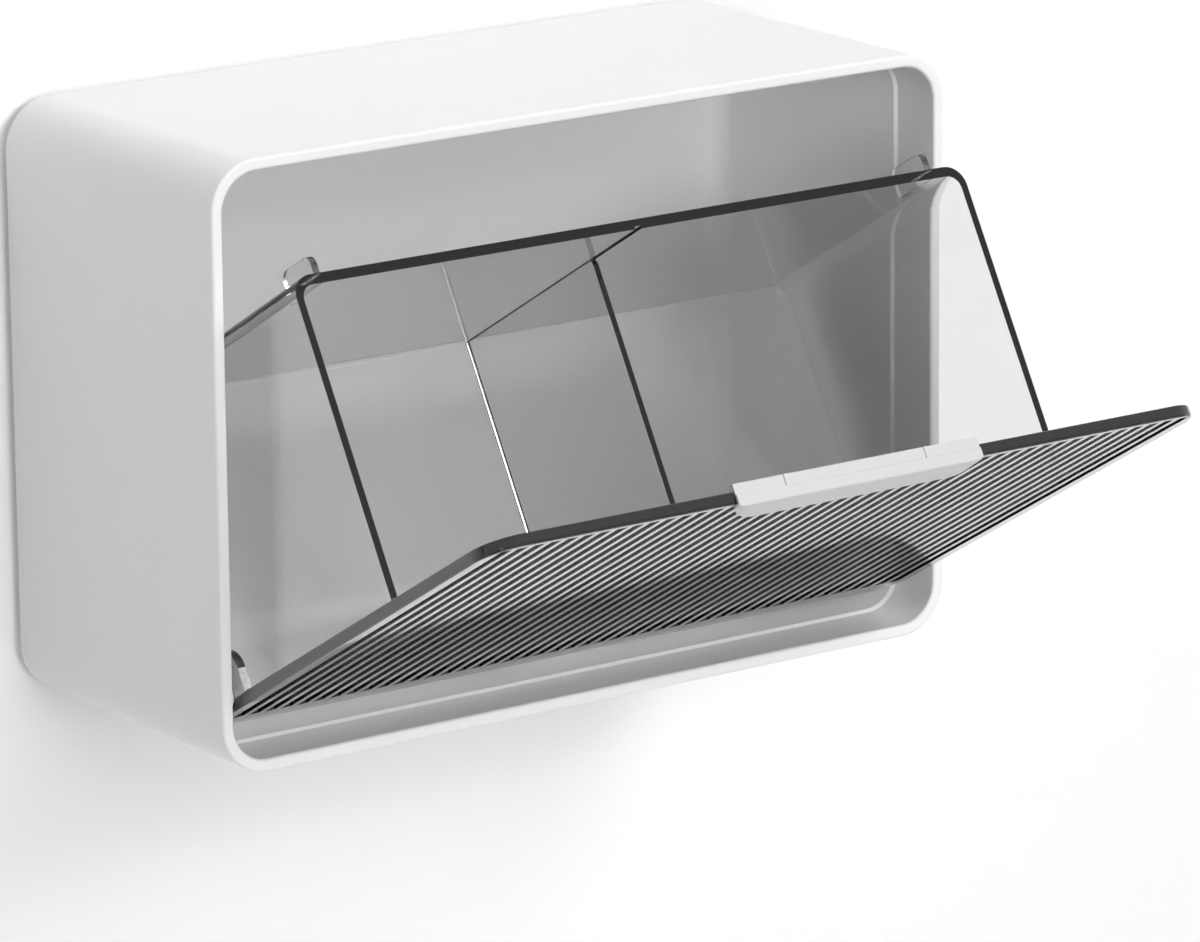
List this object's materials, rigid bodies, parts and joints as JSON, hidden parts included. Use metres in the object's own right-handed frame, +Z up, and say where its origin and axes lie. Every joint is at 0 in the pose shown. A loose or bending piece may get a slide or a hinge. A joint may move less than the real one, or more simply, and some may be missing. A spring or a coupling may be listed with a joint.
{
  "type": "cotton swab holder",
  "caption": "Wall-mounted box with a smoke-grey fluted bin that tilts out of a white casing on two hinge pins; a lift-out plate divides the bin.",
  "frame": {"origin": "centre of the adhesive pad's rear face, on the wall", "axes": "+Z up, +Y into the wall, -Y out of the front, +X to the right as seen from the front"},
  "size_m": [0.18, 0.169, 0.1242],
  "materials": {
    "white_plastic": "satin moulded",
    "handle_plastic": "satin moulded",
    "smoke_plastic": "clear, polished",
    "plate_plastic": "fine matte",
    "pin_plastic": "smooth",
    "pad_foam": "soft foam"
  },
  "bodies": {
    "casing": {"outer_casing": "white_plastic", "wall_plate": "plate_plastic", "adhesive_pad": "pad_foam", "hinge_pin_left": "pin_plastic", "hinge_pin_right": "pin_plastic"},
    "bin": {"fluted_front": "smoke_plastic", "tilt_bin": "smoke_plastic", "pull_handle": "handle_plastic"},
    "divider": {"bin_divider": "smoke_plastic"}
  },
  "joints": [
    {"name": "bin_tilt", "type": "hinge", "parent": "casing", "child": "bin", "pos_m": [0, -0.0758, -0.064], "axis": [1, 0, 0], "range_deg": [-60, 0]},
    {"name": "divider_lift", "type": "slide", "parent": "bin", "child": "divider", "axis": [0, -0.866, 0.5], "range_m": [0, 0.055]}
  ]
}
